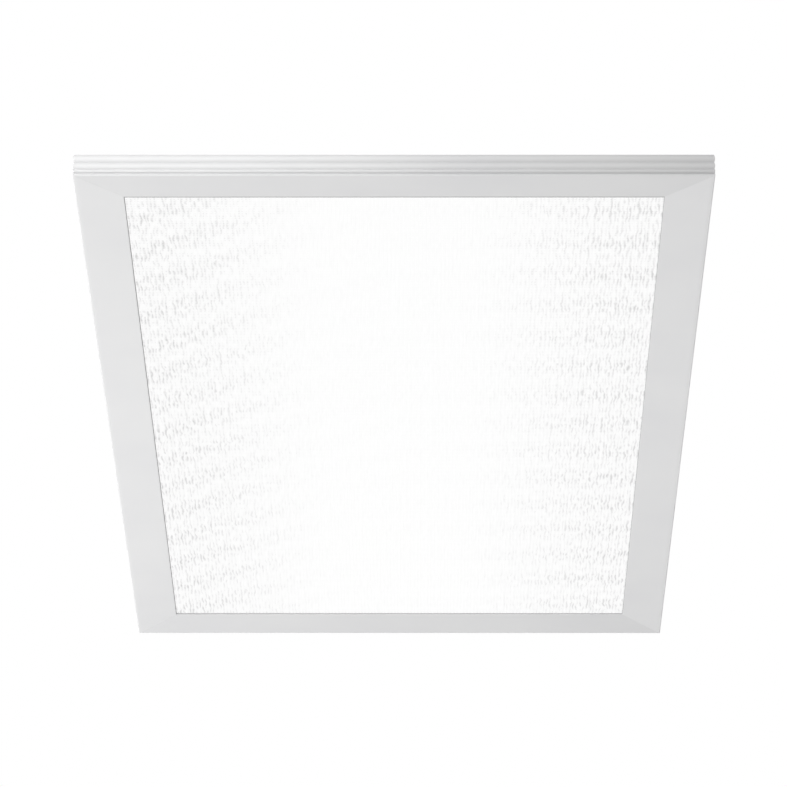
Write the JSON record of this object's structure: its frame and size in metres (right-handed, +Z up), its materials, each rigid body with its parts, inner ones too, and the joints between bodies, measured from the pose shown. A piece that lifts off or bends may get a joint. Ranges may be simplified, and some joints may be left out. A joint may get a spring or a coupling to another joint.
{
  "type": "recessed troffer light",
  "caption": "Slim recessed troffer light: mitred white frame round a prismatic lens, sloped back pan with a hinged wiring box, swing-out grid clips.",
  "frame": {"origin": "centre of the plan, on the plane of the frame's outer rim, which is the light's lowest plane", "axes": "+Z up, away from the room; Y along the light, the picture's near end at -Y; X across it"},
  "size_m": [0.603, 1.213, 0.083],
  "materials": {
    "white_coat": "satin powder coat",
    "pan_coat": "semi-gloss coil coat",
    "box_steel": "semi-gloss coat",
    "zinc_steel": "bright zinc plate",
    "clip_steel": "galvanised",
    "cast_zinc": "as cast",
    "prism_acrylic": "clear moulded prisms, lit from behind",
    "opal_plastic": "opal",
    "foam": "closed-cell foam",
    "reflector_white": "matt white foamed sheet",
    "board_white": "white solder mask on aluminium",
    "phosphor": "silicone with phosphor",
    "optic_clear": "clear moulded",
    "nylon": "natural nylon",
    "lead_white": "white insulation",
    "lead_grey": "grey insulation",
    "driver_shell": "satin",
    "circuit_green": "solder mask",
    "ferrite": "sintered",
    "capacitor_sleeve": "shrink sleeve",
    "terminal_grey": "moulded",
    "lever_orange": "moulded",
    "ground_green": "green zinc plate",
    "switch_black": "moulded"
  },
  "bodies": {
    "root": {"frame_bar_near": "white_coat", "frame_bar_far": "white_coat", "frame_bar_left": "white_coat", "frame_bar_right": "white_coat", "corner_keys": "cast_zinc", "corner_screws": "zinc_steel", "prismatic_lens": "prism_acrylic", "diffuser_sheet": "opal_plastic", "lens_gaskets": "foam", "lens_retainer_near": "pan_coat", "lens_retainer_far": "pan_coat", "lens_retainer_left": "pan_coat", "lens_retainer_right": "pan_coat", "retainer_screws": "zinc_steel", "back_pan": "pan_coat", "pan_screws": "zinc_steel", "reflector_near": "reflector_white", "reflector_far": "reflector_white", "reflector_left": "reflector_white", "reflector_right": "reflector_white", "led_boards": "board_white", "led_emitters": "phosphor", "led_optics": "optic_clear", "board_connectors": "nylon", "board_screws": "zinc_steel", "jumper_leads": "lead_white", "driver_box": "box_steel", "box_end_left": "box_steel", "box_end_right": "box_steel", "box_partition": "box_steel", "driver_bay_cover": "box_steel", "cover_screws": "zinc_steel", "box_screws": "zinc_steel", "hinge_pin": "zinc_steel", "wire_grommet": "nylon", "driver_base": "driver_shell", "driver_cover": "driver_shell", "driver_board": "circuit_green", "driver_transformer": "ferrite", "driver_capacitors": "capacitor_sleeve", "output_lead": "lead_white", "input_leads": "lead_grey", "terminal_block": "terminal_grey", "ground_screw": "ground_green", "selector_switches": "switch_black", "clip_rivets": "zinc_steel", "hanger_brackets": "zinc_steel", "hanger_screws": "zinc_steel"},
    "door": {"wiring_door": "box_steel"},
    "line_lever": {"lever_line": "lever_orange"},
    "neutral_lever": {"lever_neutral": "lever_orange"},
    "earth_lever": {"lever_earth": "lever_orange"},
    "power_knob": {"power_selector": "switch_black"},
    "colour_knob": {"colour_selector": "switch_black"},
    "clip_1": {"grid_clip_1": "clip_steel"},
    "clip_2": {"grid_clip_2": "clip_steel"},
    "clip_3": {"grid_clip_3": "clip_steel"},
    "clip_4": {"grid_clip_4": "clip_steel"}
  },
  "joints": [
    {"name": "door_hinge", "type": "hinge", "parent": "root", "child": "door", "pos_m": [0.1, 0.0726, 0.0795], "axis": [-1, 0, 0], "range_deg": [0, 110]},
    {"name": "line_lever_lift", "type": "hinge", "parent": "root", "child": "line_lever", "pos_m": [0.067, 0.036, 0.053], "axis": [-1, 0, 0], "range_deg": [0, 90]},
    {"name": "neutral_lever_lift", "type": "hinge", "parent": "root", "child": "neutral_lever", "pos_m": [0.077, 0.036, 0.053], "axis": [-1, 0, 0], "range_deg": [0, 90]},
    {"name": "earth_lever_lift", "type": "hinge", "parent": "root", "child": "earth_lever", "pos_m": [0.087, 0.036, 0.053], "axis": [-1, 0, 0], "range_deg": [0, 90]},
    {"name": "power_select", "type": "slide", "parent": "root", "child": "power_knob", "axis": [1, 0, 0], "range_m": [0, 0.004]},
    {"name": "colour_select", "type": "slide", "parent": "root", "child": "colour_knob", "axis": [1, 0, 0], "range_m": [0, 0.004]},
    {"name": "clip_1_swing", "type": "hinge", "parent": "root", "child": "clip_1", "pos_m": [-0.2815, -0.38, 0.0222], "axis": [0, 0, 1], "range_deg": [0, 90]},
    {"name": "clip_2_swing", "type": "hinge", "parent": "root", "child": "clip_2", "pos_m": [0.2815, -0.38, 0.0222], "axis": [0, 0, -1], "range_deg": [0, 90]},
    {"name": "clip_3_swing", "type": "hinge", "parent": "root", "child": "clip_3", "pos_m": [0.2815, 0.38, 0.0222], "axis": [0, 0, 1], "range_deg": [0, 90]},
    {"name": "clip_4_swing", "type": "hinge", "parent": "root", "child": "clip_4", "pos_m": [-0.2815, 0.38, 0.0222], "axis": [0, 0, -1], "range_deg": [0, 90]}
  ]
}
